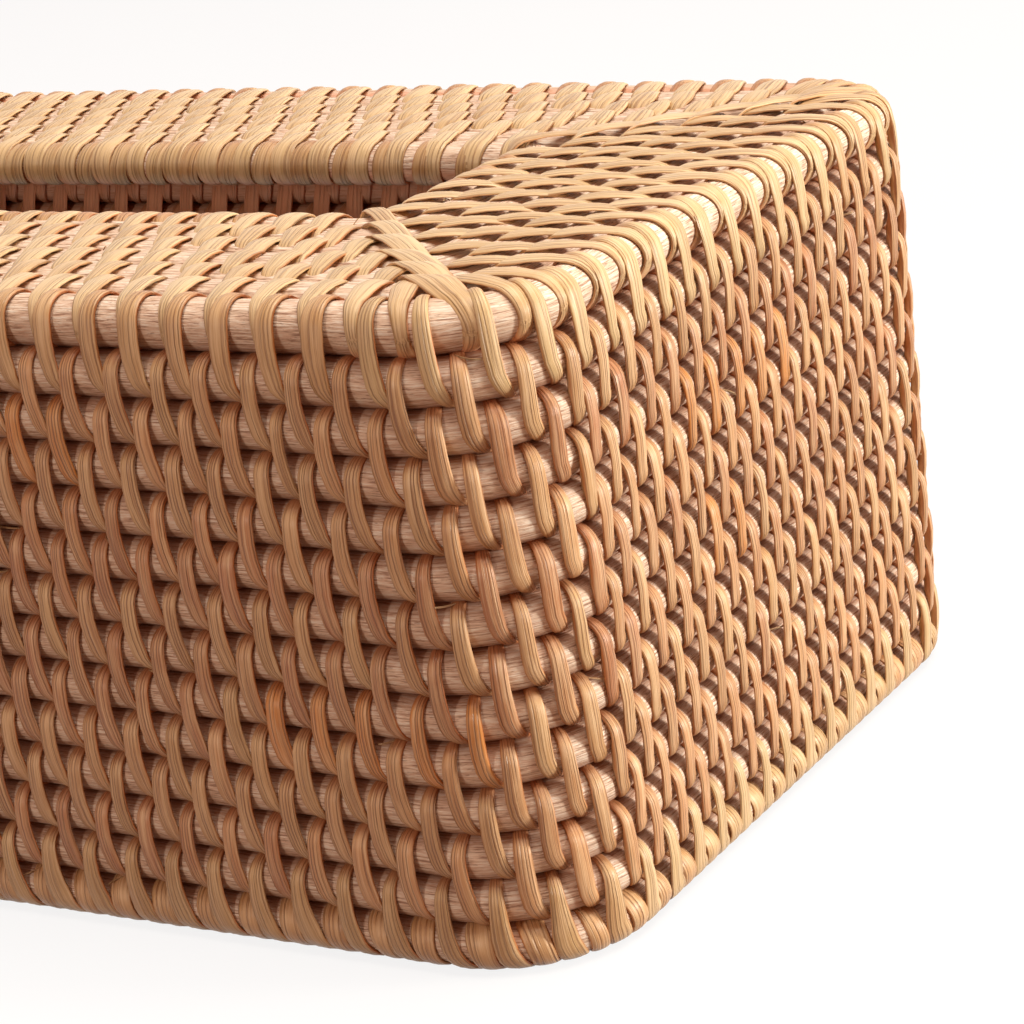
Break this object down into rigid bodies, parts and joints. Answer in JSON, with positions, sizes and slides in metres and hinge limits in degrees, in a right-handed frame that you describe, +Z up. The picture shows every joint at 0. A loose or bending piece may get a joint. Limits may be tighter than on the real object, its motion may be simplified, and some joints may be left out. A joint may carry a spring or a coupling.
{
  "type": "tissue box cover",
  "caption": "Rectangular coiled rattan cover with an open bottom, rounded corners and a long slot in its mitred top, set over a flat box of tissues.",
  "frame": {"origin": "centre of the base, on the surface that the cover stands on", "axes": "+X along the length, +Y from the front to the back, +Z up through the slot"},
  "size_m": [0.2606, 0.1526, 0.1028],
  "materials": {
    "rod": "satin",
    "strap": "gloss",
    "wrap": "gloss"
  },
  "bodies": {
    "root": {"edge_rod": "rod", "wall_rod_1": "rod", "wall_rod_2": "rod", "wall_rod_3": "rod", "wall_rod_4": "rod", "wall_rod_5": "rod", "wall_rod_6": "rod", "wall_rod_7": "rod", "wall_rod_8": "rod", "wall_rod_9": "rod", "wall_rod_10": "rod", "wall_rod_11": "rod", "wall_rod_12": "rod", "base_rod": "rod", "top_rod_1": "rod", "top_rod_2": "rod", "top_rod_3": "rod", "top_rod_4": "rod", "top_rod_5": "rod", "slot_rod": "rod", "wall_binding_1": "strap", "wall_binding_2": "strap", "wall_binding_3": "strap", "wall_binding_4": "strap", "wall_binding_5": "strap", "wall_binding_6": "strap", "wall_binding_7": "strap", "wall_binding_8": "strap", "wall_binding_9": "strap", "wall_binding_10": "strap", "wall_binding_11": "strap", "wall_binding_12": "strap", "wall_binding_13": "strap", "top_binding_1": "strap", "top_binding_2": "strap", "top_binding_3": "strap", "top_binding_4": "strap", "top_binding_5": "strap", "top_binding_6": "strap", "base_wrap": "wrap", "slot_wrap": "wrap"}
  },
  "joints": []
}
